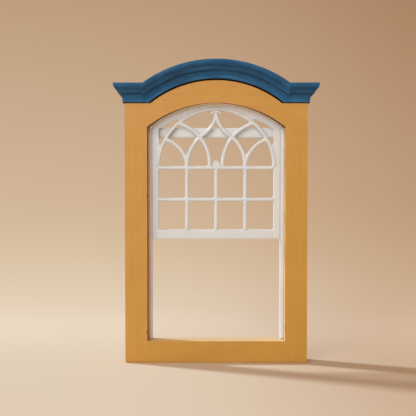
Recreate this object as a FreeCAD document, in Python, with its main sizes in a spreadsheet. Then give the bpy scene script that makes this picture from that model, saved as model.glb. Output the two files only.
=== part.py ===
import FreeCAD, Part
import math
import os
import Sketcher

# Miniature arched top sash window: a yellow frame with an arched head, a blue moulded hood,
# two white guide strips with a crossbar behind, and a white sash with interlaced tracery.
# Millimetres, +Z up, -Y to the viewer. The origin is at the middle of the bottom of the overall box.

SIZES = [
    # Frame
    ("frame_width", 88.0),
    ("frame_depth", 9.5),
    ("jamb_width", 10.7),
    ("rail_height", 10.5),
    ("arch_level", 113.95),
    ("soffit_rise", 11.6),
    ("head_height", 11.4),
    ("corner_round", 1.0),
    # Hood: its arch, then each member of its moulding from the lower edge up and outwards
    ("shoulder_length", 9.1),
    ("hood_rise", 11.2),
    ("lip_height", 0.6),
    ("lip_reach", 0.9),
    ("cove_height", 3.1),
    ("cove_reach", 1.0),
    ("lower_splay_height", 0.6),
    ("lower_splay_reach", 1.05),
    ("fillet_height", 1.15),
    ("fillet_reach", 0.45),
    ("upper_splay_height", 0.65),
    ("upper_splay_reach", 0.8),
    ("crown_height", 1.9),
    ("crown_reach", 0.75),
    ("fascia_height", 0.7),
    ("moulding_sweep", 40.0),
    ("arch_quirk_height", 0.55),
    ("end_quirk_height", 0.3),
    ("quirk_depth", 2.5),
    # Guide strips, and the crossbar behind the sash
    ("strip_width", 1.9),
    ("strip_recess", 5.0),
    ("strip_round", 0.8),
    ("crossbar_height", 5.05),
    ("crossbar_rise", 0.5),
    ("crossbar_depth", 1.2),
    # Sash
    ("sash_recess", 5.2),
    ("sash_depth", 1.6),
    ("sash_side_gap", 0.1),
    ("sash_head_gap", 0.4),
    ("sash_level", 59.9),
    ("sash_rail_height", 4.7),
    ("stile_width", 3.35),
    ("head_band", 3.05),
    ("bar_width", 1.85),
    ("bar_ease", 0.45),
    # Tracery
    ("ring_proud", 0.35),
    ("ring_lap", 0.55),
    ("ring_cover", 1.05),
    ("sweep_foot", 3.1),
    ("sweep_lift", 1.6),
    ("sweep_radius", 20.8),
    ("ogee_share", 0.58),
    ("stem_half", 0.05),
    ("cap_half", 2.05),
    ("cap_height", 2.6),
    ("cap_tip", 0.6),
    ("leaf_reach", 2.6),
    ("leaf_drop", 1.5),
    ("leaf_tip", 0.6),
    ("carving_sweep", 70.0),
]

doc = FreeCAD.newDocument("ArchedWindow")
sheet = doc.addObject("Spreadsheet::Sheet", "Sizes")
for row, (alias, number) in enumerate(SIZES, start=1):
    sheet.set(f"A{row}", alias)
    sheet.set(f"B{row}", str(number))
    sheet.setAlias(f"B{row}", alias)
doc.recompute()

# Levels, half widths and radii that several pieces share, as expressions of the sheet's cells
HALF = "(Sizes.frame_width / 2)"
LOWER_SPLAY_REACH = "(Sizes.lip_reach + Sizes.cove_reach + Sizes.lower_splay_reach)"
FILLET_REACH = f"({LOWER_SPLAY_REACH} + Sizes.fillet_reach)"
UPPER_SPLAY_REACH = f"({FILLET_REACH} + Sizes.upper_splay_reach)"
HOOD_REACH = f"({UPPER_SPLAY_REACH} + Sizes.crown_reach)"
FRONT = f"(({HOOD_REACH} - Sizes.frame_depth) / 2)"
BACK = f"(({HOOD_REACH} + Sizes.frame_depth) / 2)"
OPENING = f"({HALF} - Sizes.jamb_width)"
SOFFIT_RADIUS = f"(({OPENING}^2 + Sizes.soffit_rise^2) / (2 * Sizes.soffit_rise))"
SOFFIT_CENTRE = f"(Sizes.arch_level + Sizes.soffit_rise - {SOFFIT_RADIUS})"

SHOULDER = "(Sizes.arch_level + Sizes.head_height)"
# Heights of the moulding's members above its lower edge
COVE_TOP = "(Sizes.lip_height + Sizes.cove_height)"
LOWER_SPLAY_TOP = f"({COVE_TOP} + Sizes.lower_splay_height)"
FILLET_TOP = f"({LOWER_SPLAY_TOP} + Sizes.fillet_height)"
UPPER_SPLAY_TOP = f"({FILLET_TOP} + Sizes.upper_splay_height)"
CROWN_TOP = f"({UPPER_SPLAY_TOP} + Sizes.crown_height)"
HOOD_HEIGHT = f"({CROWN_TOP} + Sizes.fascia_height)"
# The arch's top edge meets the top of the straight ends at the joint
HOOD_HALF = f"({HALF} - Sizes.shoulder_length)"
END_HEIGHT = f"(Sizes.end_quirk_height + {HOOD_HEIGHT})"
HOOD_TOP_RADIUS = f"(({HOOD_HALF}^2 + Sizes.hood_rise^2) / (2 * Sizes.hood_rise))"
HOOD_CENTRE = f"({SHOULDER} + {END_HEIGHT} + Sizes.hood_rise - {HOOD_TOP_RADIUS})"
HOOD_RADIUS = f"({HOOD_TOP_RADIUS} - {HOOD_HEIGHT})"
SEAT_RADIUS = f"({HOOD_RADIUS} - Sizes.arch_quirk_height)"
SEAT_HALF = f"sqrt({SEAT_RADIUS}^2 - ({SHOULDER} - {HOOD_CENTRE})^2)"

SASH_BACK = f"({FRONT} + Sizes.sash_recess + Sizes.sash_depth)"
STILE_DEPTH = "(Sizes.sash_depth - Sizes.ring_proud)"
STRIP_FACE = f"({OPENING} - Sizes.strip_width)"
SASH_HALF = f"({STRIP_FACE} - Sizes.sash_side_gap)"
STILE_FACE = f"({SASH_HALF} - Sizes.stile_width)"
SASH_RADIUS = f"({SOFFIT_RADIUS} - Sizes.sash_head_gap)"
BAND_RADIUS = f"({SASH_RADIUS} - Sizes.head_band)"
SASH_CROWN = "(Sizes.arch_level + Sizes.soffit_rise - Sizes.sash_head_gap)"
HALF_BAR = "(Sizes.bar_width / 2)"

# The ring spans four equal bays and springs from the level of the springing bar
RING_RADIUS = f"({STILE_FACE} + Sizes.ring_lap)"
BAY = f"({RING_RADIUS} / 2)"
RING_INNER = f"({RING_RADIUS} - {HALF_BAR})"
RING_OUTER = f"({RING_RADIUS} + {HALF_BAR})"
RING_FOOT = f"sqrt({RING_OUTER}^2 - {HALF_BAR}^2)"
SPRINGING = f"({SASH_CROWN} - Sizes.ring_cover - {RING_OUTER})"
BAR_TOP = f"({SPRINGING} + {HALF_BAR})"
FIELD_HALF = f"sqrt({RING_INNER}^2 - {HALF_BAR}^2)"
CENTRE_STEP = f"({SPRINGING} - {SOFFIT_CENTRE})"
CUSP_RISE = f"(({BAND_RADIUS}^2 - {RING_OUTER}^2 - {CENTRE_STEP}^2) / (2 * {CENTRE_STEP}))"
CUSP_HALF = f"sqrt({RING_OUTER}^2 - {CUSP_RISE}^2)"
SASH_RAIL_TOP = "(Sizes.sash_level + Sizes.sash_rail_height)"
LOWER_BAR = f"(({SASH_RAIL_TOP} + {SPRINGING} - {HALF_BAR}) / 2)"

SWEEP_CENTRE = "(Sizes.sweep_foot + Sizes.sweep_radius)"
SWEEP_LEVEL = f"({SPRINGING} + Sizes.sweep_lift)"
OGEE_WIDTH = f"({BAY} - Sizes.stem_half)"
OGEE_RISE = f"({RING_INNER} - {HALF_BAR})"
OGEE_SUM = f"(({OGEE_WIDTH}^2 + {OGEE_RISE}^2) / (2 * {OGEE_WIDTH}))"
OGEE_LOWER = f"(Sizes.ogee_share * {OGEE_SUM})"
OGEE_UPPER = f"((1 - Sizes.ogee_share) * {OGEE_SUM})"
OGEE_ANGLE = f"acos(1 - {OGEE_WIDTH} / {OGEE_SUM})"
CROWN_LEVEL = f"({SPRINGING} + {RING_INNER})"

# How far a trimming solid runs past what it trims
MARGIN = "Sizes.bar_width"

COUNTERCLOCKWISE = 1
CLOCKWISE = -1


def value(expression):
    found = sheet.evalExpression(expression)
    return float(getattr(found, "Value", found))


def place(thing, x, y, z):
    thing.setExpression("Placement.Base.x", x)
    thing.setExpression("Placement.Base.y", y)
    thing.setExpression("Placement.Base.z", z)


# A body is drawn in front elevation: its own x runs across, y up and z towards the viewer.
TO_ELEVATION = FreeCAD.Rotation(FreeCAD.Vector(1, 0, 0), 90)


def new_body(label, x, back, z):
    body = doc.addObject("PartDesign::Body", label)
    body.Label = label
    body.Placement = FreeCAD.Placement(FreeCAD.Vector(), TO_ELEVATION)
    place(body, x, back, z)
    return body


def arc_between(start, end, radius, turn):
    """The shorter arc from start to end, with its centre to the left of a counterclockwise turn."""
    chord = end - start
    middle = (start + end) * 0.5
    left = FreeCAD.Vector(-chord.y, chord.x, 0).normalize()
    height = math.sqrt(max(radius**2 - (chord.Length / 2) ** 2, 0.0))
    centre = middle + left * (height * turn)
    first, last = (start, end) if turn == COUNTERCLOCKWISE else (end, start)
    first_angle = math.atan2(first.y - centre.y, first.x - centre.x)
    last_angle = math.atan2(last.y - centre.y, last.x - centre.x)
    circle = Part.Circle(centre, FreeCAD.Vector(0, 0, 1), radius)
    return Part.ArcOfCircle(circle, first_angle, last_angle)


def draw_outline(sketch, corners):
    """A closed outline of corners (x, y, bend). bend is None for a straight edge to the next
    corner, or (radius, turn) for an arc, and every x, y and radius is an expression."""
    points = [FreeCAD.Vector(value(x), value(y), 0) for x, y, bend in corners]
    starts = []
    ends = []
    for index, (x, y, bend) in enumerate(corners):
        start = points[index]
        end = points[(index + 1) % len(points)]
        if bend is None:
            edge = sketch.addGeometry(Part.LineSegment(start, end))
            starts.append((edge, 1))
            ends.append((edge, 2))
            continue
        radius, turn = bend
        edge = sketch.addGeometry(arc_between(start, end, value(radius), turn))
        forward = turn == COUNTERCLOCKWISE
        starts.append((edge, 1 if forward else 2))
        ends.append((edge, 2 if forward else 1))
        number = sketch.addConstraint(Sketcher.Constraint("Radius", edge, value(radius)))
        sketch.setExpression(f"Constraints[{number}]", radius)
    for index, (x, y, bend) in enumerate(corners):
        sketch.addConstraint(Sketcher.Constraint("Coincident", *ends[index - 1], *starts[index]))
        for kind, expression in (("DistanceX", x), ("DistanceY", y)):
            constraint = Sketcher.Constraint(kind, -1, 1, *starts[index], value(expression))
            number = sketch.addConstraint(constraint)
            sketch.setExpression(f"Constraints[{number}]", expression)


def new_sketch(body, name, role, outlines):
    sketch = body.newObject("Sketcher::SketchObject", name)
    planes = [feature for feature in body.Origin.OriginFeatures if feature.Role == role]
    sketch.AttachmentSupport = [(planes[0], "")]
    sketch.MapMode = "FlatFace"
    for corners in outlines:
        draw_outline(sketch, corners)
    return sketch


def pad_outlines(label, back, depth, outlines):
    """A flat piece drawn in elevation and padded forwards from its back."""
    body = new_body(label, "0", back, "0")
    sketch = new_sketch(body, label + "_outline", "XY_Plane", outlines)
    pad = body.newObject("PartDesign::Pad", label + "_pad")
    pad.Profile = sketch
    pad.setExpression("Length", depth)
    return body


def turn_section(body, section, angle="360", reverse=False):
    """Turns a section about the body's own z axis."""
    sketch = new_sketch(body, body.Label + "_section", "XZ_Plane", [section])
    turn = body.newObject("PartDesign::Revolution", body.Label + "_turn")
    turn.Profile = sketch
    turn.ReferenceAxis = (sketch, ["V_Axis"])
    turn.setExpression("Angle", angle)
    turn.Reversed = reverse


ROUND = ("PartDesign::Fillet", "Radius")
CHAMFER = ("PartDesign::Chamfer", "Size")


def work_edges(body, feature, work, size, chosen):
    """Rounds or chamfers the edges of a feature for which chosen(centre, direction, box) is true."""
    doc.recompute()
    box = feature.Shape.BoundBox
    names = []
    for number, edge in enumerate(feature.Shape.Edges, start=1):
        direction = edge.Vertexes[-1].Point - edge.Vertexes[0].Point
        if chosen(edge.CenterOfMass, direction, box):
            names.append(f"Edge{number}")
    kind, measure = work
    worked = body.newObject(kind, feature.Name + "_edges")
    worked.Base = (feature, names)
    worked.setExpression(measure, size)


NEAR = 1e-6


def at_front(centre, box):
    return abs(centre.z - box.ZMax) < NEAR


def upright_front(centre, direction, box):
    return at_front(centre, box) and abs(direction.y) > abs(direction.x)


def level_front(centre, direction, box):
    return at_front(centre, box) and abs(direction.x) > abs(direction.y)


def right_front(centre, direction, box):
    return upright_front(centre, direction, box) and abs(centre.x - box.XMax) < NEAR


def top_front(centre, direction, box):
    return level_front(centre, direction, box) and abs(centre.y - box.YMax) < NEAR


def bar(label, x, z, width, height, back, depth, edges=None):
    """A straight length with its left bottom back corner at x, back, z. edges is None for a squared
    length, or (work, size, chosen) for one with worked edges."""
    body = new_body(label, x, back, z)
    block = body.newObject("PartDesign::AdditiveBox", label + "_block")
    block.setExpression("Length", width)
    block.setExpression("Width", height)
    block.setExpression("Height", depth)
    if edges:
        work_edges(body, block, *edges)
    return body


def mirrored(source, label):
    """The right hand fellow of a left hand piece."""
    copy = doc.addObject("Part::Mirroring", label)
    copy.Label = label
    copy.Source = source
    copy.Normal = FreeCAD.Vector(1, 0, 0)
    copy.Base = FreeCAD.Vector()
    return copy


def joined(kind, label, base, tool):
    """A boolean of two objects; kind is Cut, Fuse or Common."""
    result = doc.addObject("Part::" + kind, label)
    result.Label = label
    result.Base = base
    result.Tool = tool
    return result


def post(label, radius, x, z):
    """A round trimming post through the sash, its axis square to the sash at x, z."""
    cylinder = doc.addObject("Part::Cylinder", label)
    cylinder.setExpression("Radius", radius)
    cylinder.setExpression("Height", f"Sizes.sash_depth + 2 * {MARGIN}")
    cylinder.Placement = FreeCAD.Placement(FreeCAD.Vector(), TO_ELEVATION)
    place(cylinder, x, f"{SASH_BACK} + {MARGIN}", z)
    return cylinder


parts = []


def keep_pair(left_piece, name):
    """Keeps a left hand piece and its mirrored fellow; the piece is labelled left_name."""
    parts.append(left_piece)
    parts.append(mirrored(left_piece, "right_" + name))


# Frame: two jambs that run down to the foot, a bottom rail between them and an arched head on them


def outer_foot(centre, direction, box):
    return abs(centre.x - box.XMin) < NEAR and abs(centre.y - box.YMin) < NEAR


def make_frame():
    jamb = bar("left_jamb", f"-{HALF}", "0", "Sizes.jamb_width", "Sizes.arch_level",
               BACK, "Sizes.frame_depth", (ROUND, "Sizes.corner_round", outer_foot))
    keep_pair(jamb, "jamb")
    parts.append(bar("bottom_rail", f"-{OPENING}", "0", f"2 * {OPENING}", "Sizes.rail_height",
                     BACK, "Sizes.frame_depth"))
    outline = [
        (f"-{HALF}", "Sizes.arch_level", None),
        (f"-{OPENING}", "Sizes.arch_level", (SOFFIT_RADIUS, CLOCKWISE)),
        (OPENING, "Sizes.arch_level", None),
        (HALF, "Sizes.arch_level", None),
        (HALF, SHOULDER, None),
        (SEAT_HALF, SHOULDER, (SEAT_RADIUS, COUNTERCLOCKWISE)),
        (f"-{SEAT_HALF}", SHOULDER, None),
        (f"-{HALF}", SHOULDER, None),
    ]
    parts.append(pad_outlines("arched_head", BACK, "Sizes.frame_depth", [outline]))


# Hood: a crown moulding in three lengths, butted where the straight ends meet the arch


def curve(rise, reach, turn, sweep):
    """A curved edge between two corners that differ by rise and reach."""
    return (f"sqrt(({rise})^2 + ({reach})^2) / (2 * sin({sweep} / 2 * 1deg))", turn)


def crown_profile():
    """Corners (height, reach, bend) from the lower edge of the moulding to its top edge."""
    cove = curve("Sizes.cove_height", "Sizes.cove_reach", COUNTERCLOCKWISE, "Sizes.moulding_sweep")
    crown = curve("Sizes.crown_height", "Sizes.crown_reach", CLOCKWISE, "Sizes.moulding_sweep")
    return [
        ("0", "Sizes.lip_reach", None),
        ("Sizes.lip_height", "Sizes.lip_reach", cove),
        (COVE_TOP, "(Sizes.lip_reach + Sizes.cove_reach)", None),
        (LOWER_SPLAY_TOP, LOWER_SPLAY_REACH, None),
        (FILLET_TOP, FILLET_REACH, None),
        (UPPER_SPLAY_TOP, UPPER_SPLAY_REACH, crown),
        (CROWN_TOP, HOOD_REACH, None),
        (HOOD_HEIGHT, HOOD_REACH, None),
    ]


def front_run(label, left, length, section):
    """A section of heights above the shoulder and depths from the back, run from left to right."""
    body = new_body(label, left, BACK, SHOULDER)
    run = body.newObject("PartDesign::Pad", label + "_pad")
    run.Profile = new_sketch(body, label + "_section", "YZ_Plane", [section])
    run.setExpression("Length", length)
    return body


def make_hood():
    crown = crown_profile()
    quirk_back = "Sizes.frame_depth - Sizes.quirk_depth"
    # Arch: the moulding turned about the arch's centre, rebated underneath for a shadow line
    arch_section = [
        (SEAT_RADIUS, "0", None),
        (SEAT_RADIUS, quirk_back, None),
        (HOOD_RADIUS, quirk_back, None),
    ]
    for height, reach, bend in crown:
        arch_section.append((f"{HOOD_RADIUS} + {height}", f"Sizes.frame_depth + {reach}", bend))
    arch_section.append((HOOD_TOP_RADIUS, "0", None))
    turned = new_body("hood_ring", "0", BACK, HOOD_CENTRE)
    turn_section(turned, arch_section)
    # The space between the two joints, over the shoulder and the shadow line
    space_top = f"{END_HEIGHT} + Sizes.hood_rise + {MARGIN}"
    space_front = f"Sizes.frame_depth + {HOOD_REACH} + {MARGIN}"
    space = front_run("hood_space", f"-{HOOD_HALF}", f"2 * {HOOD_HALF}", [
        ("0", f"-{MARGIN}", None),
        ("0", quirk_back, None),
        ("Sizes.end_quirk_height", quirk_back, None),
        ("Sizes.end_quirk_height", space_front, None),
        (space_top, space_front, None),
        (space_top, f"-{MARGIN}", None),
    ])
    parts.append(joined("Common", "hood_arch", turned, space))
    # Straight end: the wood that a run along the front and a run along the side have in common
    front_section = [
        ("0", "0", None),
        ("0", quirk_back, None),
        ("Sizes.end_quirk_height", quirk_back, None),
    ]
    side_section = [
        ("0", SHOULDER, None),
        (f"-({HALF} - Sizes.quirk_depth)", SHOULDER, None),
        (f"-({HALF} - Sizes.quirk_depth)", f"{SHOULDER} + Sizes.end_quirk_height", None),
    ]
    for height, reach, bend in crown:
        level = f"Sizes.end_quirk_height + {height}"
        front_section.append((level, f"Sizes.frame_depth + {reach}", bend))
        side_section.append((f"-({HALF} + {reach})", f"{SHOULDER} + {level}", bend))
    front_section.append((END_HEIGHT, "0", None))
    side_section.append(("0", f"{SHOULDER} + {END_HEIGHT}", None))
    run_length = f"({HALF} + {HOOD_REACH} + {MARGIN})"
    along_front = front_run("hood_front_run", f"-{run_length}", run_length, front_section)
    along_side = pad_outlines("hood_side_run", BACK, f"Sizes.frame_depth + {HOOD_REACH} + {MARGIN}",
                              [side_section])
    corner = joined("Common", "hood_corner", along_front, along_side)
    keep_pair(joined("Cut", "left_hood_end", corner, space), "hood_end")


# Guide strips on the jambs, and the crossbar behind the sash that joins their tops


def strip_edges(centre, direction, box):
    at_foot = level_front(centre, direction, box) and abs(centre.y - box.YMin) < NEAR
    return right_front(centre, direction, box) or at_foot


def make_guides():
    strip = bar("left_guide_strip", f"-{OPENING}", "Sizes.rail_height", "Sizes.strip_width",
                "Sizes.arch_level - Sizes.rail_height", BACK,
                "Sizes.frame_depth - Sizes.strip_recess", (ROUND, "Sizes.strip_round", strip_edges))
    keep_pair(strip, "guide_strip")
    crossbar_foot = "Sizes.arch_level + Sizes.crossbar_rise - Sizes.crossbar_height"
    parts.append(bar("rear_crossbar", f"-{STRIP_FACE}", crossbar_foot,
                     f"2 * {STRIP_FACE}", "Sizes.crossbar_height", BACK, "Sizes.crossbar_depth",
                     (CHAMFER, "Sizes.bar_ease", level_front)))


# Sash: stiles, rail and bars below the springing level, and one arched top on the stiles. The bars
# and the tracery stand a little proud of the stiles, the rail and the arched top.


def sash_bar(label, x, z, width, height, chosen, depth="Sizes.sash_depth"):
    return bar(label, x, z, width, height, SASH_BACK, depth, (CHAMFER, "Sizes.bar_ease", chosen))


def make_sash():
    stile = sash_bar("left_sash_stile", f"-{SASH_HALF}", "Sizes.sash_level", "Sizes.stile_width",
                     f"{BAR_TOP} - Sizes.sash_level", right_front, STILE_DEPTH)
    keep_pair(stile, "sash_stile")
    between = f"2 * {STILE_FACE}"
    parts.append(sash_bar("sash_bottom_rail", f"-{STILE_FACE}", "Sizes.sash_level", between,
                          "Sizes.sash_rail_height", top_front, STILE_DEPTH))
    for label, level in (("lower_bar", LOWER_BAR), ("springing_bar", SPRINGING)):
        parts.append(sash_bar(label, f"-{STILE_FACE}", f"{level} - {HALF_BAR}", between,
                              "Sizes.bar_width", level_front))
    rows = (
        ("lower_mullion", SASH_RAIL_TOP, f"({LOWER_BAR} - {HALF_BAR})"),
        ("upper_mullion", f"({LOWER_BAR} + {HALF_BAR})", f"({SPRINGING} - {HALF_BAR})"),
    )
    for name, foot, head in rows:
        left = sash_bar("left_" + name, f"-{BAY} - {HALF_BAR}", foot, "Sizes.bar_width",
                        f"{head} - {foot}", upright_front)
        keep_pair(left, name)
        parts.append(sash_bar("centre_" + name, f"-{HALF_BAR}", foot, "Sizes.bar_width",
                              f"{head} - {foot}", upright_front))


def make_arched_top():
    top_corner = f"{SOFFIT_CENTRE} + sqrt({SASH_RADIUS}^2 - {SASH_HALF}^2)"
    cusp = f"{SPRINGING} + {CUSP_RISE}"
    ring_meets_stile = f"{SPRINGING} + sqrt({RING_OUTER}^2 - {STILE_FACE}^2)"
    band_meets_stile = f"{SOFFIT_CENTRE} + sqrt({BAND_RADIUS}^2 - {STILE_FACE}^2)"
    over_ring = (RING_OUTER, CLOCKWISE)
    under_band = (BAND_RADIUS, CLOCKWISE)
    outline = [
        (f"-{SASH_HALF}", BAR_TOP, None),
        (f"-{RING_FOOT}", BAR_TOP, over_ring),
        (f"-{STILE_FACE}", ring_meets_stile, None),
        (f"-{STILE_FACE}", band_meets_stile, under_band),
        (f"-{CUSP_HALF}", cusp, over_ring),
        (CUSP_HALF, cusp, under_band),
        (STILE_FACE, band_meets_stile, None),
        (STILE_FACE, ring_meets_stile, over_ring),
        (RING_FOOT, BAR_TOP, None),
        (SASH_HALF, BAR_TOP, None),
        (SASH_HALF, top_corner, (SASH_RADIUS, COUNTERCLOCKWISE)),
        (f"-{SASH_HALF}", top_corner, None),
    ]
    parts.append(pad_outlines("sash_arched_top", SASH_BACK, STILE_DEPTH, [outline]))


# Tracery: a ring under the arched top, and bars bent to arcs, coped to the ring and to each other


def bar_section(radius, side):
    """The eased section of a bar, set off from the turning axis by a radius on one side."""
    middle = f"{side} * {radius}"
    shoulder = "Sizes.sash_depth - Sizes.bar_ease"
    flat = f"({HALF_BAR} - Sizes.bar_ease)"
    return [
        (f"{middle} - {HALF_BAR}", "0", None),
        (f"{middle} + {HALF_BAR}", "0", None),
        (f"{middle} + {HALF_BAR}", shoulder, None),
        (f"{middle} + {flat}", "Sizes.sash_depth", None),
        (f"{middle} - {flat}", "Sizes.sash_depth", None),
        (f"{middle} - {HALF_BAR}", shoulder, None),
    ]


def bent_bar(label, x, z, radius, side=1, angle="360", reverse=False):
    """A bar turned about an axis square to the sash at x, z, starting level with that axis."""
    body = new_body(label, x, SASH_BACK, z)
    turn_section(body, bar_section(radius, side), angle, reverse)
    return body


def trimming_field(label, left, right):
    """The part of the arch between two upright planes, from the springing bar to the ring."""
    back = f"{SASH_BACK} + {MARGIN}"
    depth = f"Sizes.sash_depth + 2 * {MARGIN}"
    outline = [
        (f"-{FIELD_HALF}", BAR_TOP, None),
        (FIELD_HALF, BAR_TOP, (RING_INNER, COUNTERCLOCKWISE)),
    ]
    half_disc = pad_outlines(label + "_disc", back, depth, [outline])
    slab = bar(label + "_slab", left, SPRINGING, f"{right} - ({left})", RING_RADIUS, back, depth)
    return joined("Common", label, half_disc, slab)


def make_ring():
    whole = bent_bar("whole_ring", "0", SPRINGING, RING_RADIUS)
    upper_half = bar("ring_slab", f"-{SASH_HALF}", BAR_TOP, f"2 * {SASH_HALF}", RING_OUTER,
                     f"{SASH_BACK} + {MARGIN}", f"Sizes.sash_depth + 2 * {MARGIN}")
    parts.append(joined("Common", "sash_ring", whole, upper_half))


def make_tracery():
    outside = trimming_field("haunch_field", f"-{RING_RADIUS}", f"-{BAY}")
    inside = trimming_field("ogee_field", f"-{BAY}", "0")
    left_half = trimming_field("sweep_field", f"-{RING_RADIUS}", "0")

    haunch = bent_bar("haunch_ring", f"-{RING_RADIUS}", SPRINGING, BAY)
    keep_pair(joined("Common", "left_haunch_arc", haunch, outside), "haunch_arc")

    sweep_centre = (f"-{SWEEP_CENTRE}", SWEEP_LEVEL)
    sweep = bent_bar("sweep_ring", *sweep_centre, "Sizes.sweep_radius")
    keep_pair(joined("Common", "left_sweep_arc", sweep, left_half), "sweep_arc")

    lower = bent_bar("ogee_lower_bend", f"-{BAY} + {OGEE_LOWER}", BAR_TOP, OGEE_LOWER,
                     side=-1, angle=OGEE_ANGLE, reverse=True)
    upper = bent_bar("ogee_upper_bend", f"-Sizes.stem_half - {OGEE_UPPER}", CROWN_LEVEL, OGEE_UPPER,
                     angle=OGEE_ANGLE, reverse=True)
    ogee = joined("Common", "ogee", joined("Fuse", "ogee_bends", lower, upper), inside)
    inner_post = post("sweep_inner_post", f"Sizes.sweep_radius - {HALF_BAR}", *sweep_centre)
    outer_post = post("sweep_outer_post", f"Sizes.sweep_radius + {HALF_BAR}", *sweep_centre)
    keep_pair(joined("Common", "left_lower_ogee", ogee, inner_post), "lower_ogee")
    upper_ogee = joined("Cut", "left_upper_ogee", ogee, outer_post)
    keep_pair(upper_ogee, "upper_ogee")
    make_cap(outer_post)
    make_leaves(inside, upper_ogee)


def make_cap(outer_post):
    """The small domed cap on the springing bar, trimmed to the sweep arcs at its sides."""
    top = f"{BAR_TOP} + Sizes.cap_height"
    side = curve("Sizes.cap_height", "Sizes.cap_half - Sizes.cap_tip", COUNTERCLOCKWISE,
                 "Sizes.carving_sweep")
    outline = [
        ("-Sizes.cap_half", BAR_TOP, None),
        ("Sizes.cap_half", BAR_TOP, side),
        ("Sizes.cap_tip", top, None),
        ("-Sizes.cap_tip", top, side),
    ]
    dome = pad_outlines("cap_dome", SASH_BACK, "Sizes.sash_depth", [outline])
    trimmed = joined("Cut", "cap_left_trim", dome, outer_post)
    parts.append(joined("Cut", "centre_cap", trimmed, mirrored(outer_post, "right_outer_post")))


def make_leaves(inside, upper_ogee):
    """The drooping leaf on each side of the stem, in the angle between the stem and the ring."""
    foot = f"{CROWN_LEVEL} - Sizes.leaf_drop"
    outer_side = curve(f"Sizes.leaf_drop + {HALF_BAR}", "Sizes.leaf_reach", CLOCKWISE,
                       "Sizes.carving_sweep")
    inner_side = curve("Sizes.leaf_drop / 2", "Sizes.leaf_reach - Sizes.leaf_tip", COUNTERCLOCKWISE,
                       "Sizes.carving_sweep")
    outline = [
        ("-Sizes.leaf_reach", foot, outer_side),
        ("0", f"{CROWN_LEVEL} + {HALF_BAR}", None),
        ("0", f"{foot} + Sizes.leaf_drop / 2", inner_side),
        ("-Sizes.leaf_reach + Sizes.leaf_tip", foot, None),
    ]
    blank = pad_outlines("leaf_blank", SASH_BACK, "Sizes.sash_depth", [outline])
    in_field = joined("Common", "leaf_in_field", blank, inside)
    keep_pair(joined("Cut", "left_crown_leaf", in_field, upper_ogee), "crown_leaf")


make_frame()
make_hood()
make_guides()
make_sash()
make_arched_top()
make_ring()
make_tracery()
doc.recompute()

for thing in doc.Objects:
    if "Invalid" in thing.State or "Error" in thing.State:
        raise RuntimeError(f"{thing.Label} could not be built: {thing.State}")
for piece in parts:
    if piece.Shape.isNull() or not piece.Shape.isValid() or not piece.Shape.Solids:
        raise RuntimeError(f"{piece.Label} has no valid solid")

os.makedirs("parts", exist_ok=True)
for piece in parts:
    piece.Shape.exportStep(f"parts/{piece.Label}.step")
    print(piece.Label, len(piece.Shape.Solids), round(piece.Shape.Volume, 3))
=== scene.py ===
import math

import bmesh
import bpy
from mathutils import Matrix, Vector


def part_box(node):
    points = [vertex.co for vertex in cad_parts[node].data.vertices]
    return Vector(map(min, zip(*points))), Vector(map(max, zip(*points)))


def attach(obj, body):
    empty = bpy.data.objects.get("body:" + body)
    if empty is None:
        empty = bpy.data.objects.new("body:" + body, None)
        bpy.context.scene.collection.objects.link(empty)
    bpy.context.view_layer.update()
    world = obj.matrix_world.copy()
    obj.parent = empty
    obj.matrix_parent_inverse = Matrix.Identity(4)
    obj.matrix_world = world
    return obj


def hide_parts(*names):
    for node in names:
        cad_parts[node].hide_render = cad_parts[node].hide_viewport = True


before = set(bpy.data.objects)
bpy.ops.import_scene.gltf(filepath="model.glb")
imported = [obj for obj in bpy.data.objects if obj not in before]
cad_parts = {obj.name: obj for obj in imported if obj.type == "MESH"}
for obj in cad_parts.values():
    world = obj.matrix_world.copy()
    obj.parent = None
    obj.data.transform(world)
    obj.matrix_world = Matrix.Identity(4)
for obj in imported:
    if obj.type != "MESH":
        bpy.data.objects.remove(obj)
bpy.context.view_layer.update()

# A hand-painted miniature window: mustard frame, blue hood and white sash, brushed on thickly enough
# to round the edges and to fill the inner corners. Lengths in this file are millimetres, and METRE
# turns them into Blender's metres. Colours of paint and paper are as they look on a screen, 0 to 255.
METRE = 0.001
X, Y, Z = range(3)

# CAD nodes by the skin that covers them. The sash was painted in one piece.
FRAME_NODES = ["bottom_rail", "left_jamb", "right_jamb", "arched_head"]
HOOD_NODES = ["hood_arch", "left_hood_end", "right_hood_end"]
STRIP_NODES = ["left_guide_strip", "right_guide_strip"]
CAP_NODES = ["centre_cap"]
LEAF_NODES = ["left_crown_leaf", "right_crown_leaf"]
CROSSBAR_NODES = ["rear_crossbar"]
OTHER_NODES = FRAME_NODES + HOOD_NODES + STRIP_NODES + CAP_NODES + LEAF_NODES + CROSSBAR_NODES
SASH_NODES = sorted(set(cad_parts) - set(OTHER_NODES))


def low_corner(node):
    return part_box(node)[0] / METRE


def high_corner(node):
    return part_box(node)[1] / METRE


OPENING_HALF = high_corner("bottom_rail").x
SILL = high_corner("bottom_rail").z
JAMB_TOP = high_corner("left_jamb").z
FRONT_FACE = low_corner("left_jamb").y
HOOD_FOOT = low_corner("left_hood_end").z
HOOD_TOP = high_corner("hood_arch").z
HOOD_HALF = high_corner("hood_arch").x
HOOD_RISE = HOOD_TOP - high_corner("left_hood_end").z
HOOD_RADIUS = (HOOD_HALF**2 + HOOD_RISE**2) / (2 * HOOD_RISE)
# The rebate under the straight ends, and the moulding's height over it
QUIRK = 0.3
MOULDING = high_corner("left_hood_end").z - HOOD_FOOT - QUIRK


# Shader nodes


def linear(red, green, blue):
    """A colour as it looks on a screen, in the units of a shader socket."""
    channels = []
    for value in (red, green, blue):
        share = value / 255
        channels.append(share / 12.92 if share <= 0.04045 else ((share + 0.055) / 1.055) ** 2.4)
    return (*channels, 1.0)


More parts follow.
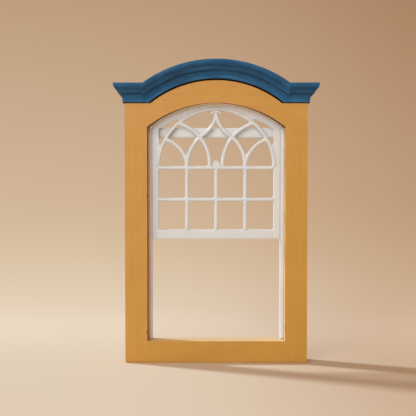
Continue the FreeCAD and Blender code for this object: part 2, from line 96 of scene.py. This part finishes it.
def add_node(tree, kind, inputs=None, **settings):
    """Adds a shader node. inputs maps a socket's name or number to a value or to another socket."""
    made = tree.nodes.new("ShaderNode" + kind)
    for name, setting in settings.items():
        setattr(made, name, setting)
    for key, source in (inputs or {}).items():
        if isinstance(source, bpy.types.NodeSocket):
            tree.links.new(source, made.inputs[key])
        else:
            made.inputs[key].default_value = source
    return made


def math_node(tree, operation, first, second=0.0):
    return add_node(tree, "Math", {0: first, 1: second}, operation=operation).outputs[0]


def product(tree, *factors):
    total = factors[0]
    for factor in factors[1:]:
        total = math_node(tree, "MULTIPLY", total, factor)
    return total


def weighted_sum(tree, terms):
    total = 0.0
    for share, socket in terms:
        part = add_node(tree, "Math", {0: socket, 1: share, 2: total}, operation="MULTIPLY_ADD")
        total = part.outputs[0]
    return total


def map_range(tree, value, start, end, at_start=0.0, at_end=1.0):
    """Goes from at_start to at_end while the value goes from start to end, and no further."""
    return add_node(tree, "MapRange", {0: value, 1: start, 2: end, 3: at_start, 4: at_end}).outputs[0]


def vector_node(tree, operation, first, second=(0.0, 0.0, 0.0)):
    """Vector arithmetic, which gives a number for a length or a dot product and a vector otherwise."""
    made = add_node(tree, "VectorMath", {0: first, 1: second}, operation=operation)
    return made.outputs["Value" if operation in ("LENGTH", "DOT_PRODUCT") else "Vector"]


def axis_value(tree, vector, axis):
    return add_node(tree, "SeparateXYZ", {0: vector}).outputs[axis]


def choose(tree, share, first, second):
    """A number between two."""
    return add_node(tree, "Mix", {0: share, 2: first, 3: second}).outputs[0]


def blend(tree, share, first, second, how="MIX"):
    """A colour between two, each a socket or a colour as it looks on a screen."""
    inputs = {0: share}
    for socket, colour in ((6, first), (7, second)):
        inputs[socket] = colour if isinstance(colour, bpy.types.NodeSocket) else linear(*colour)
    return add_node(tree, "Mix", inputs, data_type="RGBA", blend_type=how).outputs[2]


def colour_ramp(tree, value, stops, interpolation):
    """Colours at given values, blended in between."""
    first, first_colour = stops[0]
    last, last_colour = stops[-1]
    made = add_node(tree, "ValToRGB", {0: map_range(tree, value, first, last)})
    ramp = made.color_ramp
    ramp.interpolation = interpolation
    ramp.elements[0].color = linear(*first_colour)
    ramp.elements[1].color = linear(*last_colour)
    for place, colour in stops[1:-1]:
        ramp.elements.new((place - first) / (last - first)).color = linear(*colour)
    return made.outputs[0]


def place_on(tree):
    """The place on a piece, in millimetres."""
    metres = add_node(tree, "TexCoord").outputs["Object"]
    return vector_node(tree, "MULTIPLY", metres, [1 / METRE] * 3)


def face_normal(tree):
    return add_node(tree, "NewGeometry").outputs["Normal"]


def distance_aside(tree, position):
    """The distance to either side from the middle of the window."""
    return math_node(tree, "ABSOLUTE", axis_value(tree, position, X))


def flattened(tree, position):
    """The place as seen from the front, its depth left out."""
    return vector_node(tree, "MULTIPLY", position, (1.0, 0.0, 1.0))


def new_material(name):
    material = bpy.data.materials.new(name)
    material.use_nodes = True
    material.node_tree.nodes.clear()
    return material


def add_surface(tree, inputs):
    shader = add_node(tree, "BsdfPrincipled", inputs)
    add_node(tree, "OutputMaterial", {"Surface": shader.outputs[0]})


# Paint: long brush strokes, blotches where the coat is thicker, painted shade in the corners, worn edges
# and tops painted lighter

# Sizes of the blotches and of the grain, and the height of a brush mark
BLOTCH = 8.0
GRAIN = 0.35
BRUSH_MARK = 0.12
# Shares of the strokes, the blotches and the grain in a coat
STROKE_SHARE = 0.55
BLOTCH_SHARE = 0.3
GRAIN_SHARE = 0.15
# Where the colours of a thin, a usual and a thick coat show
COAT_STOPS = [0.36, 0.5, 0.64]
# Coats between which the roughness falls, and how far it goes up and down
ROUGH_COAT = 0.3
SMOOTH_COAT = 0.7
ROUGHNESS_SPREAD = 0.07
# How far from an edge paint is worn
EDGE_WEAR = 0.45


def stretched_noise(tree, position, along, stroke):
    """Noise drawn out along one axis of the position, as a brush leaves it."""
    width, length = stroke
    scale = [1 / width] * 3
    scale[along] = 1 / length
    stretched = vector_node(tree, "MULTIPLY", position, scale)
    noise = add_node(tree, "TexNoise", {"Vector": stretched, "Scale": 1.0, "Detail": 3.0, "Roughness": 0.6})
    return noise.outputs[0]


def even_noise(tree, position, size):
    return add_node(tree, "TexNoise", {"Vector": position, "Scale": 1 / size, "Detail": 2.0}).outputs[0]


def painted_shade_share(tree, reach, start, most, under):
    """Shade painted in corners, from an openness of start down, and on undersides."""
    full_at = 0.2
    underside = -0.65
    openness = add_node(tree, "AmbientOcclusion", {"Distance": reach * METRE}, samples=8).outputs["AO"]
    in_corners = map_range(tree, openness, start, full_at, 0.0, most)
    below = map_range(tree, axis_value(tree, face_normal(tree), Z), 0.0, underside, 0.0, under)
    return math_node(tree, "MAXIMUM", in_corners, below)


def edge_share(tree, blotches, most):
    """Wear along edges, in patches."""
    flat = 0.985
    sharp = 0.9
    patch_edge = 0.45
    patch_middle = 0.7
    rounded = add_node(tree, "Bevel", {"Radius": EDGE_WEAR * METRE}, samples=4).outputs[0]
    alike = vector_node(tree, "DOT_PRODUCT", rounded, face_normal(tree))
    at_edge = map_range(tree, alike, flat, sharp)
    in_patches = map_range(tree, blotches, patch_edge, patch_middle, 0.0, most)
    return product(tree, at_edge, in_patches)


def lit_top_share(tree, most):
    """A pale colour painted on faces that point up, as light falling on them."""
    sloping = 0.6
    level = 0.9
    return map_range(tree, axis_value(tree, face_normal(tree), Z), sloping, level, 0.0, most)


def paint(name, *, coats, strokes_at, shade_colour, shade_reach, shade_start, shade_most, shade_under, pale_wear_and_light, bare_edges,
          lit_tops, roughness, specular, relief, finish):
    """A brushed paint, from the colours of a thin, a usual and a thick coat and the noise of its strokes.
    Shade is painted in one colour into corners, within a reach and from a given openness down, and onto
    undersides, each up to a largest share. A pale colour shows at edges as wear and is painted on tops as
    light falling there, each up to a share. The finish works over the colour so far, and gives the new
    colour and the share of it that is painted shade. Roughness goes up where shade is painted."""
    material = new_material(name)
    tree = material.node_tree
    position = place_on(tree)
    strokes = strokes_at(tree, position)
    blotches = even_noise(tree, position, BLOTCH)
    grain = even_noise(tree, position, GRAIN)
    coat = weighted_sum(tree, [(STROKE_SHARE, strokes), (BLOTCH_SHARE, blotches), (GRAIN_SHARE, grain)])
    colour = colour_ramp(tree, coat, list(zip(COAT_STOPS, coats)), "LINEAR")
    # Shade painted into corners and onto undersides
    corner_and_under_shade = painted_shade_share(tree, shade_reach, shade_start, shade_most, shade_under)
    colour = blend(tree, corner_and_under_shade, colour, shade_colour)
    colour = blend(tree, edge_share(tree, blotches, bare_edges), colour, pale_wear_and_light)
    # Tops painted lighter, as lit from above
    colour = blend(tree, lit_top_share(tree, lit_tops), colour, pale_wear_and_light)
    colour, finish_shade = finish(tree, position, colour)

    brushed = map_range(tree, coat, ROUGH_COAT, SMOOTH_COAT, roughness + ROUGHNESS_SPREAD,
                        roughness - ROUGHNESS_SPREAD)
    dull = math_node(tree, "MAXIMUM", corner_and_under_shade, finish_shade)
    bump = add_node(tree, "Bump", {"Height": coat, "Strength": relief, "Distance": BRUSH_MARK * METRE})
    add_surface(tree, {
        "Base Color": colour,
        "Roughness": math_node(tree, "MAXIMUM", brushed, dull),
        "Specular IOR Level": specular,
        "Normal": bump.outputs[0],
    })
    return material


# Strokes of the brush, each with its width and length
FRAME_STROKE = (1.1, 30.0)
HOOD_STROKE = (0.8, 14.0)
SASH_STROKE = (0.8, 12.0)


def straight_strokes(tree, position, level, stroke):
    """Level strokes where level is 1, upright ones elsewhere."""
    upright = stretched_noise(tree, position, Z, stroke)
    return choose(tree, level, upright, stretched_noise(tree, position, X, stroke))


def frame_strokes(tree, position):
    """Level strokes on the rail between the jambs and on the head, upright ones on the jambs."""
    between = math_node(tree, "LESS_THAN", distance_aside(tree, position), OPENING_HALF)
    above = math_node(tree, "GREATER_THAN", axis_value(tree, position, Z), JAMB_TOP)
    level = math_node(tree, "MAXIMUM", between, above)
    return straight_strokes(tree, position, level, FRAME_STROKE)


def sash_strokes(tree, position):
    """Level strokes at the height of the level members, upright ones elsewhere."""
    height = axis_value(tree, position, Z)
    level = 0.0
    for node in ("sash_bottom_rail", "lower_bar", "springing_bar", "rear_crossbar"):
        middle = (low_corner(node).z + high_corner(node).z) / 2
        half = (high_corner(node).z - low_corner(node).z) / 2
        beside = add_node(tree, "Math", {0: height, 1: middle, 2: half}, operation="COMPARE")
        level = math_node(tree, "MAXIMUM", beside.outputs[0], level)
    return straight_strokes(tree, position, level, SASH_STROKE)


def from_arch_centre(tree, position):
    """The way from the centre of the hood's arch to a place, as seen from the front."""
    return vector_node(tree, "SUBTRACT", flattened(tree, position), (0.0, 0.0, HOOD_TOP - HOOD_RADIUS))


def on_hood_end(tree, position):
    """Whether a place is on one of the hood's straight ends."""
    return math_node(tree, "GREATER_THAN", distance_aside(tree, position), HOOD_HALF)


def hood_strokes(tree, position):
    """Strokes that follow the arch, and level ones on the straight ends."""
    spoke = from_arch_centre(tree, position)
    angle = math_node(tree, "ARCTAN2", axis_value(tree, spoke, X), axis_value(tree, spoke, Z))
    bent = add_node(tree, "CombineXYZ", {X: product(tree, angle, HOOD_RADIUS),
                                         Y: axis_value(tree, position, Y),
                                         Z: vector_node(tree, "LENGTH", spoke)}).outputs[0]
    return choose(tree, on_hood_end(tree, position), stretched_noise(tree, bent, X, HOOD_STROKE),
                  stretched_noise(tree, position, X, HOOD_STROKE))


# Finishes: what is special to one paint

# A face points down, left or to the front where its normal is past these along Z, X and Y
DOWNWARD = -0.5
LEFTWARD = -0.8
FRONTWARD = -0.5
# Colours of painted shade, of pale wear that also serves as painted light, of white paint carried over and
# of chips
HOOD_FOOT_SHADE = (36, 24, 16)
PALE_WEAR_AND_LIGHT_YELLOW = (232, 196, 142)
REVEAL_SHADE = (156, 96, 46)
SOFFIT_SHADE = (112, 56, 20)
HAUNCH_SHADE = (34, 14, 6)
SOFFIT_WHITE = (240, 216, 192)
CHIPPED_EDGE = (96, 50, 20)
JAMB_BOUNCE_SHADE = (206, 138, 58)


def points(tree, axis, past):
    """Whether a face points against an axis, its normal past a given value there."""
    return math_node(tree, "LESS_THAN", axis_value(tree, face_normal(tree), axis), past)


def waves(tree, position, size, height):
    """An uneven height, for the edge of a band of painted shade."""
    return product(tree, even_noise(tree, position, size), height)


def hood_foot_shade(tree, position, colour):
    """Shade painted along the lower edge of the moulding, uneven and thinner on the ends."""
    thinner = 0.2
    full_to = 0.35
    gone_at = 0.6
    most = 0.95
    radius = vector_node(tree, "LENGTH", from_arch_centre(tree, position))
    over_arch = math_node(tree, "SUBTRACT", radius, HOOD_RADIUS - MOULDING)
    over_end = math_node(tree, "SUBTRACT", axis_value(tree, position, Z), HOOD_FOOT + QUIRK - thinner)
    height = choose(tree, on_hood_end(tree, position), over_arch, over_end)
    height = math_node(tree, "ADD", height, waves(tree, position, size=3.0, height=0.4))
    finish_shade = map_range(tree, height, full_to, gone_at, most, 0.0)
    return blend(tree, finish_shade, colour, HOOD_FOOT_SHADE), finish_shade


def over_sill(tree, position):
    clearance = 0.05
    return math_node(tree, "GREATER_THAN", axis_value(tree, position, Z), SILL + clearance)


def faces_opening(tree, position):
    """Whether a face over the sill points to the middle of the opening."""
    least = 0.3
    inwards = vector_node(tree, "SUBTRACT", (0.0, 0.0, JAMB_TOP / 2), flattened(tree, position))
    turned = vector_node(tree, "DOT_PRODUCT", vector_node(tree, "NORMALIZE", inwards), face_normal(tree))
    return product(tree, math_node(tree, "GREATER_THAN", turned, least), over_sill(tree, position))


def front_edge_shade(tree, position):
    """Shade painted behind the front edge of the opening, uneven and wider towards the jambs."""
    full_to = FRONT_FACE + 1.6
    gone_at = FRONT_FACE + 2.2
    widening = 0.09
    most = 0.96
    depth = axis_value(tree, position, Y)
    depth = math_node(tree, "ADD", depth, waves(tree, position, size=2.5, height=0.8))
    depth = math_node(tree, "SUBTRACT", depth, product(tree, distance_aside(tree, position), widening))
    return map_range(tree, depth, full_to, gone_at, most, 0.0)


def jamb_chips(tree, position):
    """Chips along the inner edges of the jambs, on their front."""
    size = 4.0
    depth = 7.0
    start = 0.65
    most = 0.75
    onto_jamb = math_node(tree, "SUBTRACT", distance_aside(tree, position), OPENING_HALF)
    bitten = product(tree, math_node(tree, "SUBTRACT", even_noise(tree, position, size), start), depth)
    chip = math_node(tree, "LESS_THAN", onto_jamb, bitten)
    under_arch = math_node(tree, "LESS_THAN", axis_value(tree, position, Z), JAMB_TOP)
    return product(tree, chip, over_sill(tree, position), points(tree, Y, FRONTWARD), under_arch, most)


def opening_edges(tree, position, colour):
    """Shade painted behind the front edge of the soffit and of the left reveal, darker towards the
    haunches, white carried onto the soffit behind that, the right reveal painted paler where the key light
    falls on it, and chipped jambs."""
    crown_half = 8.0
    haunch = 26.0
    lit_reveal_share = 0.7
    to_ground = points(tree, Z, DOWNWARD)
    to_left = points(tree, X, LEFTWARD)
    to_haunch = map_range(tree, distance_aside(tree, position), crown_half, haunch)
    # Shade painted on the soffit, darker towards the haunches, and on the left reveal
    shade_colour = blend(tree, to_ground, REVEAL_SHADE, blend(tree, to_haunch, SOFFIT_SHADE, HAUNCH_SHADE))
    seam_shade = front_edge_shade(tree, position)
    seam_shaded = blend(tree, seam_shade, blend(tree, to_ground, colour, SOFFIT_WHITE), shade_colour)
    # The right reveal, facing the key light, painted paler
    lit_reveal = blend(tree, lit_reveal_share, colour, PALE_WEAR_AND_LIGHT_YELLOW)
    inner = faces_opening(tree, position)
    lined = blend(tree, inner, colour, blend(tree, to_left, seam_shaded, lit_reveal))
    chipped = blend(tree, jamb_chips(tree, position), lined, CHIPPED_EDGE)
    return chipped, product(tree, inner, seam_shade)


def jamb_bounce_shade(tree, position, colour):
    """Warm shade painted on the white beside the left jamb, as light bounced off its mustard reveal."""
    reach = 1.9
    most = 0.75
    finish_shade = map_range(tree, axis_value(tree, position, X), -OPENING_HALF, reach - OPENING_HALF, most, 0.0)
    return blend(tree, finish_shade, colour, JAMB_BOUNCE_SHADE), finish_shade


YELLOW = paint(
    "mustard_paint",
    coats=[(192, 139, 57), (196, 143, 61), (200, 148, 66)],
    strokes_at=frame_strokes,
    # Shade painted into the corners, and tops such as the sill painted lighter
    shade_colour=(48, 26, 10),
    shade_reach=3.0,
    shade_start=0.65,
    shade_most=0.85,
    shade_under=0.0,
    pale_wear_and_light=PALE_WEAR_AND_LIGHT_YELLOW,
    bare_edges=0.25,
    lit_tops=0.85,
    roughness=0.45,
    specular=0.35,
    relief=0.16,
    finish=opening_edges,
)
BLUE = paint(
    "blue_paint",
    coats=[(18, 70, 107), (27, 87, 129), (43, 106, 148)],
    strokes_at=hood_strokes,
    # Shade painted into the corners and under the mouldings, and tops painted a little lighter
    shade_colour=(36, 30, 26),
    shade_reach=3.0,
    shade_start=0.7,
    shade_most=0.97,
    shade_under=0.4,
    pale_wear_and_light=(92, 134, 160),
    bare_edges=0.5,
    lit_tops=0.15,
    roughness=0.55,
    specular=0.2,
    relief=0.25,
    finish=hood_foot_shade,
)
WHITE = paint(
    "white_paint",
    coats=[(206, 208, 209), (212, 214, 215), (217, 219, 220)],
    strokes_at=sash_strokes,
    # Shade painted into the corners and under the bars, and tops painted lighter
    shade_colour=(128, 88, 54),
    shade_reach=2.5,
    shade_start=0.62,
    shade_most=0.42,
    shade_under=0.1,
    pale_wear_and_light=(238, 238, 237),
    bare_edges=0.9,
    lit_tops=0.3,
    roughness=0.3,
    specular=0.5,
    relief=0.22,
    finish=jamb_bounce_shade,
)


# Skins of paint over the CAD nodes

# The turn up to which faces count as one flat face, and the turn from which an edge is eased
FLAT_ANGLE = math.radians(0.5)
EDGE_ANGLE = math.radians(30)


def new_object(name, data):
    made = bpy.data.objects.new(name, data)
    bpy.context.scene.collection.objects.link(made)
    return made


def copied_mesh(name, nodes):
    """The meshes of some CAD nodes as one, in millimetres."""
    gathered = bmesh.new()
    for node in nodes:
        gathered.from_mesh(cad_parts[node].data)
    bmesh.ops.remove_doubles(gathered, verts=gathered.verts, dist=1e-7)
    bmesh.ops.scale(gathered, vec=Vector((1, 1, 1)) / METRE, verts=gathered.verts)
    mesh = bpy.data.meshes.new(name)
    gathered.to_mesh(mesh)
    gathered.free()
    return mesh


def round_feet(mesh, radius):
    """Rounds the lower outer corners, worn by standing."""
    near = 0.01
    shaped = bmesh.new()
    shaped.from_mesh(mesh)
    bmesh.ops.dissolve_limit(shaped, angle_limit=FLAT_ANGLE, verts=shaped.verts, edges=shaped.edges)
    half = max(abs(vertex.co.x) for vertex in shaped.verts)
    lowest = [vertex for vertex in shaped.verts if vertex.co.z < near and abs(vertex.co.x) > half - near]
    corners = [edge for edge in shaped.edges if all(vertex in lowest for vertex in edge.verts)]
    bmesh.ops.bevel(shaped, geom=corners, offset=radius, segments=4, profile=0.5, affect="EDGES")
    shaped.to_mesh(mesh)
    shaped.free()


def draw_down(mesh, length):
    """Lengthens a mesh downwards, its top kept."""
    heights = [vertex.co.z for vertex in mesh.vertices]
    top = max(heights)
    share = 1 + length / (top - min(heights))
    for vertex in mesh.vertices:
        vertex.co.z = top - (top - vertex.co.z) * share


def finish_skin(piece, nodes, material):
    """Fixes the modifiers of a skin, turns it into metres and puts it in the place of its nodes."""
    graph = bpy.context.evaluated_depsgraph_get()
    skin = bpy.data.meshes.new_from_object(piece.evaluated_get(graph))
    skin.transform(Matrix.Scale(METRE, 4))
    skin.shade_smooth()
    skin.name = piece.name
    skin.materials.append(material)
    piece.modifiers.clear()
    piece.data = skin
    even = piece.modifiers.new("even", "WEIGHTED_NORMAL")
    even.weight = 80
    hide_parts(*nodes)
    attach(piece, "root")


def planed_skin(name, nodes, material, *, ease, foot_round=0.0):
    """One closed skin over some CAD nodes, their touching faces merged and their edges eased. A foot_round
    rounds the outer corners that the nodes after the first stand on."""
    piece = new_object(name, copied_mesh(name, nodes[:1]))
    tools = [new_object(node + "_tool", copied_mesh(node, [node])) for node in nodes[1:]]
    for tool in tools:
        if foot_round:
            round_feet(tool.data, foot_round)
        join = piece.modifiers.new("join", "BOOLEAN")
        join.operation = "UNION"
        join.solver = "EXACT"
        join.object = tool
    flatten = piece.modifiers.new("flatten", "DECIMATE")
    flatten.decimate_type = "DISSOLVE"
    flatten.angle_limit = FLAT_ANGLE
    rounding = piece.modifiers.new("rounding", "BEVEL")
    rounding.limit_method = "ANGLE"
    rounding.angle_limit = EDGE_ANGLE
    rounding.width = ease
    rounding.segments = 3
    finish_skin(piece, nodes, material)
    for tool in tools:
        bpy.data.objects.remove(tool)


def painted_skin(name, nodes, material, *, voxel, fillet, coat, rounding, kept_share, foot=0.0):
    """One closed skin over some CAD nodes: rebuilt on a grid of voxels, swollen and shrunk back by the
    fillet so that inner corners fill, smoothed so that edges round, and thinned to the share of faces that
    is kept. It ends a coat outside the nodes, or inside them where that is below zero. A foot draws it
    down over what it stands on."""
    mesh = copied_mesh(name, nodes)
    if foot:
        draw_down(mesh, foot)
    piece = new_object(name, mesh)
    for swelling in (fillet, coat - fillet):
        grid = piece.modifiers.new("grid", "REMESH")
        grid.mode = "VOXEL"
        grid.voxel_size = voxel
        swell = piece.modifiers.new("swell", "DISPLACE")
        swell.mid_level = 0.0
        swell.strength = swelling
    soften = piece.modifiers.new("soften", "SMOOTH")
    soften.factor = 0.5
    soften.iterations = rounding
    thin = piece.modifiers.new("thin", "DECIMATE")
    thin.ratio = kept_share
    finish_skin(piece, nodes, material)


planed_skin("painted_frame", FRAME_NODES, YELLOW, ease=0.16, foot_round=0.6)
planed_skin("painted_hood", HOOD_NODES, BLUE, ease=0.12)
painted_skin("painted_sash", SASH_NODES, WHITE,
             voxel=0.16, fillet=0.34, coat=-0.05, rounding=3, kept_share=0.2)
painted_skin("painted_strips", STRIP_NODES, WHITE,
             voxel=0.16, fillet=0.1, coat=0.13, rounding=3, kept_share=0.08)
painted_skin("painted_cap", CAP_NODES, WHITE,
             voxel=0.08, fillet=0.1, coat=-0.06, rounding=5, kept_share=0.5, foot=0.9)
painted_skin("painted_leaves", LEAF_NODES, WHITE,
             voxel=0.08, fillet=0.1, coat=0.12, rounding=2, kept_share=0.5)
painted_skin("painted_crossbar", CROSSBAR_NODES, WHITE,
             voxel=0.2, fillet=0.08, coat=0.0, rounding=3, kept_share=0.3)


# Stage: one pale sheet of paper that runs from the floor up behind the object

SHEET_HALF = 1500.0
SHEET_FRONT = -1500.0
BEND_START = 120.0
BEND_RADIUS = 1500.0
BEND_ANGLE = math.radians(70)
BEND_STEPS = 40
# Colours of the paper by the distance behind the object, with light painted in: brightest just behind the
# object, darker in front and up the wall
PAPER_WITH_PAINTED_LIGHT = [(-120, (215, 192, 167)), (0, (214, 194, 168)), (90, (233, 211, 187)), (180, (223, 202, 175)),
         (400, (212, 186, 153)), (620, (206, 177, 145)), (1250, (206, 175, 142))]
# What is left of them as the light falls off to the right, by how far a line from a foot on the floor
# in front leans. The line counts as no shorter than FAN_LEAST.
FALL_OFF = [(-0.2, (255, 255, 255)), (0.08, (249, 244, 241)), (0.36, (234, 220, 209))]
FAN_FOOT = -200
FAN_LEAST = 230


def backdrop_mesh():
    """A level floor that bends up into a wall."""
    profile = [(SHEET_FRONT, 0.0), (BEND_START, 0.0)]
    for step in range(1, BEND_STEPS + 1):
        angle = BEND_ANGLE * step / BEND_STEPS
        profile.append((BEND_START + BEND_RADIUS * math.sin(angle), BEND_RADIUS * (1 - math.cos(angle))))
    sheet = bmesh.new()
    rows = []
    for y, z in profile:
        rows.append([sheet.verts.new(Vector((x, y, z)) * METRE) for x in (-SHEET_HALF, SHEET_HALF)])
    for lower, upper in zip(rows, rows[1:]):
        sheet.faces.new((*lower, *reversed(upper)))
    mesh = bpy.data.meshes.new("backdrop")
    sheet.to_mesh(mesh)
    sheet.free()
    mesh.shade_smooth()
    return mesh


# The paper's colour carries painted light, brighter behind the object and falling off to the right
def backdrop_paper_with_painted_light():
    material = new_material("backdrop_paper_with_painted_light")
    tree = material.node_tree
    position = place_on(tree)
    behind = axis_value(tree, position, Y)
    length = math_node(tree, "MAXIMUM", math_node(tree, "SUBTRACT", behind, FAN_FOOT), FAN_LEAST)
    slope = math_node(tree, "DIVIDE", axis_value(tree, position, X), length)
    left_over = colour_ramp(tree, slope, FALL_OFF, "CARDINAL")
    shaded = blend(tree, 1.0, colour_ramp(tree, behind, PAPER_WITH_PAINTED_LIGHT, "B_SPLINE"), left_over, "MULTIPLY")
    add_surface(tree, {"Base Color": shaded, "Roughness": 0.9, "Specular IOR Level": 0.2})
    return material


def make_backdrop():
    mesh = backdrop_mesh()
    mesh.materials.append(backdrop_paper_with_painted_light())
    backdrop = new_object("backdrop", mesh)


def make_world():
    """A warm room for light, and the colour of the paper where it is seen, mirrored or looked through."""
    world = bpy.data.worlds.new("studio")
    world.use_nodes = True
    tree = world.node_tree
    tree.nodes.clear()
    room = add_node(tree, "Background", {"Color": (1.0, 0.82, 0.65, 1.0), "Strength": 0.46})
    seen = add_node(tree, "Background", {"Color": linear(206, 176, 145), "Strength": 1.0})
    path = add_node(tree, "LightPath").outputs
    mirrored = math_node(tree, "MAXIMUM", path["Is Glossy Ray"], path["Is Transmission Ray"])
    in_view = math_node(tree, "MAXIMUM", path["Is Camera Ray"], mirrored)
    chosen = add_node(tree, "MixShader", {0: in_view, 1: room.outputs[0], 2: seen.outputs[0]})
    add_node(tree, "OutputWorld", {"Surface": chosen.outputs[0]})
    bpy.context.scene.world = world


def new_lamp(name, kind, energy, colour, direction):
    lamp = new_object(name, bpy.data.lights.new(name, kind))
    lamp.data.energy = energy
    lamp.data.color = colour
    lamp.rotation_mode = "QUATERNION"
    lamp.rotation_quaternion = direction.to_track_quat("-Z", "Y")
    return lamp


def make_lamps():
    """A cool sun from behind on the left, and a broad soft lamp in front on the left."""
    key = new_lamp("key_light", "SUN", energy=2.55, colour=(0.78, 1.0, 1.22),
                   direction=Vector((0.70, -0.298, -0.64)))
    key.data.angle = math.radians(6)
    place = Vector((-660, -1800, 890)) * METRE
    aim = Vector((0, 0, 75)) * METRE
    fill = new_lamp("fill_light", "AREA", energy=28.0, colour=(0.97, 1.0, 1.04), direction=aim - place)
    fill.location = place
    fill.data.shape = "DISK"
    fill.data.size = 2000 * METRE


def make_camera():
    """A camera in front of the window, a little left of its middle and tipped slightly down. The shift
    keeps the window where the photograph has it."""
    aside = -3.96
    distance = 345.75
    height = 75.04
    tip = math.radians(1.7)
    camera = new_object("camera", bpy.data.cameras.new("camera"))
    camera.data.sensor_width = 36.0
    camera.data.lens = 62.07
    camera.data.shift_y = 0.0512
    camera.location = Vector((aside, FRONT_FACE - distance, height)) * METRE
    camera.rotation_euler = (math.radians(90) - tip, 0, 0)
    bpy.context.scene.camera = camera


make_backdrop()
make_world()
make_lamps()
make_camera()
bpy.context.scene.view_settings.view_transform = "Standard"
